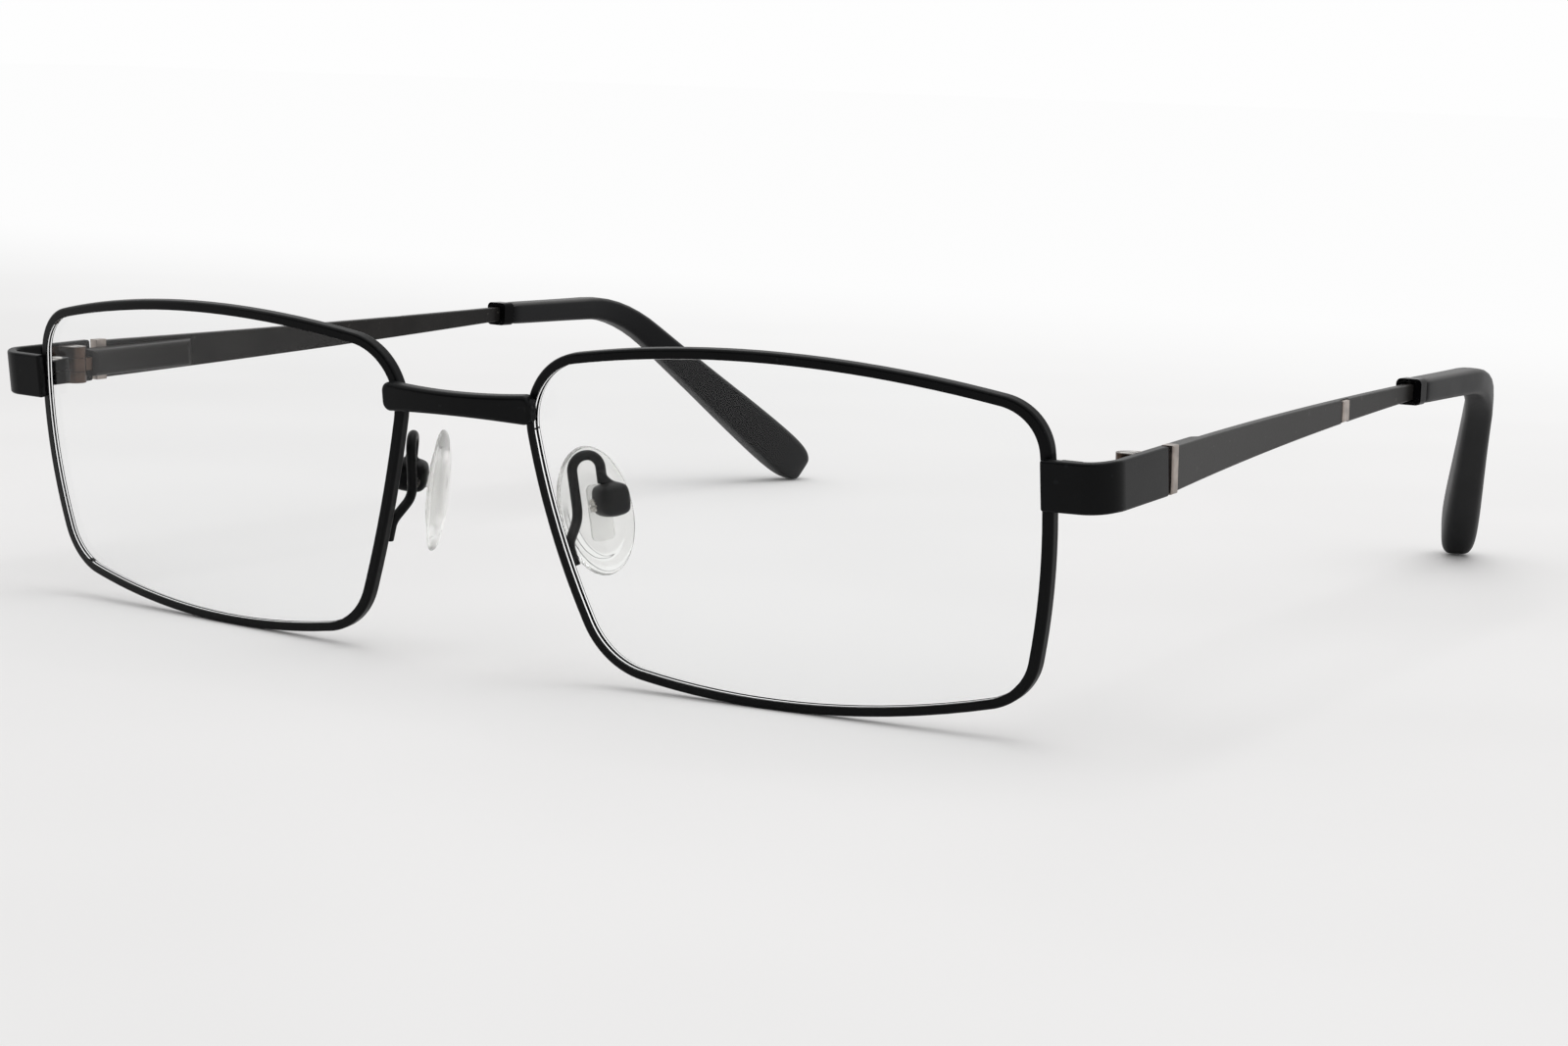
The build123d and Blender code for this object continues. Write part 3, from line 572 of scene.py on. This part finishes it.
class EYEGLASSES_OT_pad_boxes(bpy.types.Operator):
    """Models the rounded boxes that hold the pads, each with a neck for the wire"""

    bl_idname = "eyeglasses.pad_boxes"
    bl_label = "Model the pad boxes"

    def execute(self, context):
        sizes = context.scene.eyeglass_sizes
        start_piece()
        bpy.ops.mesh.primitive_cube_add(size=1.0, location=BOX_MIDDLE)
        box = context.object
        box.scale = (sizes.box_width, sizes.box_length, sizes.box_depth)
        bpy.ops.object.transform_apply(location=True, rotation=True, scale=True)
        bpy.ops.object.mode_set(mode="EDIT")
        bpy.ops.mesh.bevel(offset=sizes.box_rounding, segments=2, affect="EDGES")
        # The neck rises from the top and leans over to the end of the wire
        bpy.ops.mesh.select_all(action="DESELECT")
        bpy.ops.object.mode_set(mode="OBJECT")
        top = BOX_MIDDLE.y + sizes.box_length / 2
        for face in box.data.polygons:
            face.select = face.normal.y > 0.95 and abs(face.center.y - top) < 0.00001
        bpy.ops.object.mode_set(mode="EDIT")
        neck = BOX_MIDDLE + Vector((0.0, sizes.box_length / 2, 0.0))
        for lean, rise, narrower in NECK_STEPS:
            step = Vector((lean, rise, 0.0))
            neck += step
            bpy.ops.mesh.extrude_region_move(TRANSFORM_OT_translate={"value": step})
            bpy.ops.transform.resize(value=(narrower, 1.0, narrower), center_override=neck)
        close_ends()
        smooth_out(box, 2)
        box.data.transform(pad_frame())
        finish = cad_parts["bridge"].data.materials[0]
        place_pair(box, "box", "front", ["pad_box"], finish)
        return {"FINISHED"}


class EYEGLASSES_OT_stage(bpy.types.Operator):
    """Sets up the camera, the pale floor, the lamps and the bright surroundings"""

    bl_idname = "eyeglasses.stage"
    bl_label = "Set up the stage"

    def execute(self, context):
        scene = context.scene
        lens = bpy.data.cameras.new("camera")
        camera = bpy.data.objects.new("camera", lens)
        scene.collection.objects.link(camera)
        scene.camera = camera
        lens.lens = FOCAL_LENGTH
        lens.sensor_width = 36.0
        lens.clip_start = 0.01
        camera.location = CAMERA_PLACE
        camera.rotation_euler = [math.radians(turn) for turn in CAMERA_TURN]
        scene.view_settings.view_transform = "Standard"

        sizes, colours = scene.eyeglass_sizes, scene.eyeglass_colours
        start_piece()
        bpy.ops.mesh.primitive_plane_add(size=sizes.floor_width)
        floor = context.object
        floor.name = "floor"
        material, place = new_material("floor_pale")
        farther = place.axis("Y").rise(FADE_START, FADE_END)
        mottle = place.noise(0.05, detail=1.0).rise(0.3, 0.7)
        near = mottle.tint(rgba(colours.floor, 0.99), rgba(colours.floor, 1.01))
        place.principled(
            {
                "Base Color": farther.tint(near, (0.0, 0.0, 0.0, 1.0)),
                "Emission Color": farther.tint((0.0, 0.0, 0.0, 1.0), (0.98, 0.98, 0.98, 1.0)),
                "Emission Strength": 1.0,
                "Roughness": 0.8,
                "Specular IOR Level": 0.0,
            }
        )
        floor.data.materials.append(material)

        # A dark card in front keeps the black metal black, as in a studio
        start_piece()
        bpy.ops.mesh.primitive_plane_add(
            size=1.0, location=CARD_PLACE, rotation=(math.radians(90.0), 0.0, 0.0)
        )
        card = context.object
        card.name = "dark_card"
        card.scale = CARD_SIZE
        card.visible_camera = False
        card.visible_diffuse = False
        card.visible_shadow = False
        dark, place = new_material("card_dark")
        place.principled({"Base Color": (0.01, 0.01, 0.01, 1.0), "Roughness": 1.0})
        card.data.materials.append(dark)

        lamp = bpy.data.lights.new("overhead", "AREA")
        lamp.energy = LAMP_WATTS
        lamp.size = LAMP_SIZE
        overhead = bpy.data.objects.new("overhead", lamp)
        overhead.location = LAMP_PLACE
        scene.collection.objects.link(overhead)

        world = bpy.data.worlds.new("surroundings")
        scene.world = world
        world.use_nodes = True
        world.node_tree.nodes.clear()
        sky = Wire(world.node_tree, None)
        camera_ray = sky.node("ShaderNodeLightPath", {}, {}, 0)
        glossy_ray = sky.node("ShaderNodeLightPath", {}, {}, 3)
        through_ray = sky.node("ShaderNodeLightPath", {}, {}, 6)
        seen = sky.maths("MAXIMUM", camera_ray, sky.maths("MAXIMUM", glossy_ray, through_ray))
        strength = SKY_STRENGTH + seen * SKY_EXTRA_WHERE_SEEN
        inputs = {"Color": (1.0, 1.0, 1.0, 1.0), "Strength": strength}
        light = sky.node("ShaderNodeBackground", {}, inputs)
        sky.node("ShaderNodeOutputWorld", {}, {"Surface": light})
        return {"FINISHED"}


OPERATORS = (
    EYEGLASSES_OT_stage,
    EYEGLASSES_OT_metalwork,
    EYEGLASSES_OT_lenses,
    EYEGLASSES_OT_temple_tips,
    EYEGLASSES_OT_nose_pads,
    EYEGLASSES_OT_pad_boxes,
)


class EYEGLASSES_PT_panel(bpy.types.Panel):
    """Lists the pieces, their sizes and their colours"""

    bl_idname = "EYEGLASSES_PT_panel"
    bl_label = "Eyeglasses"
    bl_space_type = "VIEW_3D"
    bl_region_type = "UI"
    bl_category = "Eyeglasses"

    def draw(self, context):
        for group in (context.scene.eyeglass_sizes, context.scene.eyeglass_colours):
            for name in group.bl_rna.properties.keys():
                if name not in ("rna_type", "name"):
                    self.layout.prop(group, name)
        for operator in OPERATORS:
            self.layout.operator(operator.bl_idname)


CLASSES = (EyeglassSizes, EyeglassColours, *OPERATORS, EYEGLASSES_PT_panel)


def register():
    for item in CLASSES:
        bpy.utils.register_class(item)
    bpy.types.Scene.eyeglass_sizes = PointerProperty(type=EyeglassSizes)
    bpy.types.Scene.eyeglass_colours = PointerProperty(type=EyeglassColours)


def unregister():
    del bpy.types.Scene.eyeglass_colours
    del bpy.types.Scene.eyeglass_sizes
    for item in reversed(CLASSES):
        bpy.utils.unregister_class(item)


def main():
    """Registers the add-on and makes every piece in order."""
    register()
    bpy.ops.eyeglasses.stage()
    bpy.ops.eyeglasses.metalwork()
    bpy.ops.eyeglasses.lenses()
    bpy.ops.eyeglasses.temple_tips()
    bpy.ops.eyeglasses.nose_pads()
    bpy.ops.eyeglasses.pad_boxes()


if __name__ == "__main__":
    main()
